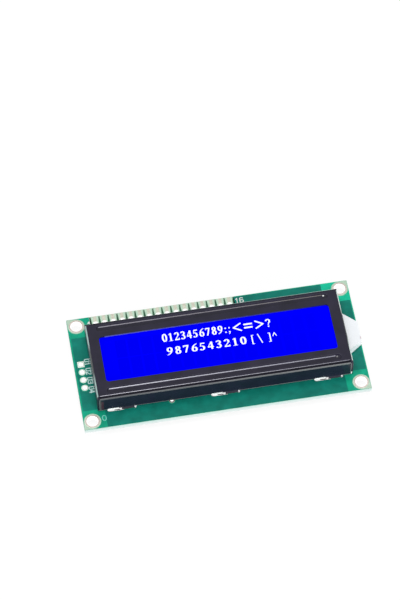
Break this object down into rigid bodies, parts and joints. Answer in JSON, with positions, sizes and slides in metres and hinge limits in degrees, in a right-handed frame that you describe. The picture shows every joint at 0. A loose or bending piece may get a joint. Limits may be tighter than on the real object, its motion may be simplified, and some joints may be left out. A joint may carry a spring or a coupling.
{
  "type": "character lcd module",
  "caption": "Flat display module: a blue backlit character screen in a folded black metal bezel, clipped to a green circuit board with corner holes and an edge header row.",
  "frame": {"origin": "under the centre of the circuit board, on the surface that the six bezel lugs stand on", "axes": "+X along the board's long side, to the right as the display is read; +Y towards the edge with the header row; +Z out of the display's face"},
  "size_m": [0.08, 0.036, 0.0102],
  "materials": {
    "solder_mask_board": "glossy green solder mask over glass-epoxy laminate",
    "tinned_copper": "dull bright tin over copper",
    "black_bezel": "smooth black painted sheet steel",
    "cell_glass": "polished flat glass",
    "display_film": "smooth blue polarising film",
    "clear_film": "pale translucent film",
    "light_guide": "milky white moulded plastic",
    "lamp_case": "white moulded plastic",
    "seal_resin": "cured resin line",
    "strip_rubber": "striped silicone rubber",
    "epoxy": "glossy black potting resin",
    "silicon": "polished grey",
    "chip_ceramic": "black glaze with tinned ends"
  },
  "bodies": {
    "root": {"pcb": "solder_mask_board", "mounting_rings": "tinned_copper", "header_pads": "tinned_copper", "side_pads": "tinned_copper", "led_pads": "tinned_copper", "via_rings": "tinned_copper", "bezel_ground_pads": "tinned_copper", "bezel": "black_bezel", "light_guide": "light_guide", "backlight_led": "lamp_case", "led_leads": "tinned_copper", "led_solder": "tinned_copper", "reflector_sheet": "clear_film", "diffuser_sheet": "clear_film", "rear_polarizer": "clear_film", "rear_glass": "cell_glass", "cell_seal": "seal_resin", "front_glass": "cell_glass", "front_polarizer": "display_film", "near_contact_strip": "strip_rubber", "far_contact_strip": "strip_rubber", "controller_blob": "epoxy", "controller_die": "silicon", "driver_blob": "epoxy", "driver_die": "silicon", "resistor_pads": "tinned_copper", "resistor_solder": "tinned_copper", "ladder_resistor_1": "chip_ceramic", "ladder_resistor_2": "chip_ceramic", "ladder_resistor_3": "chip_ceramic", "ladder_resistor_4": "chip_ceramic", "ladder_resistor_5": "chip_ceramic", "clock_resistor_1": "chip_ceramic", "clock_resistor_2": "chip_ceramic", "lamp_resistor": "chip_ceramic"}
  },
  "joints": []
}
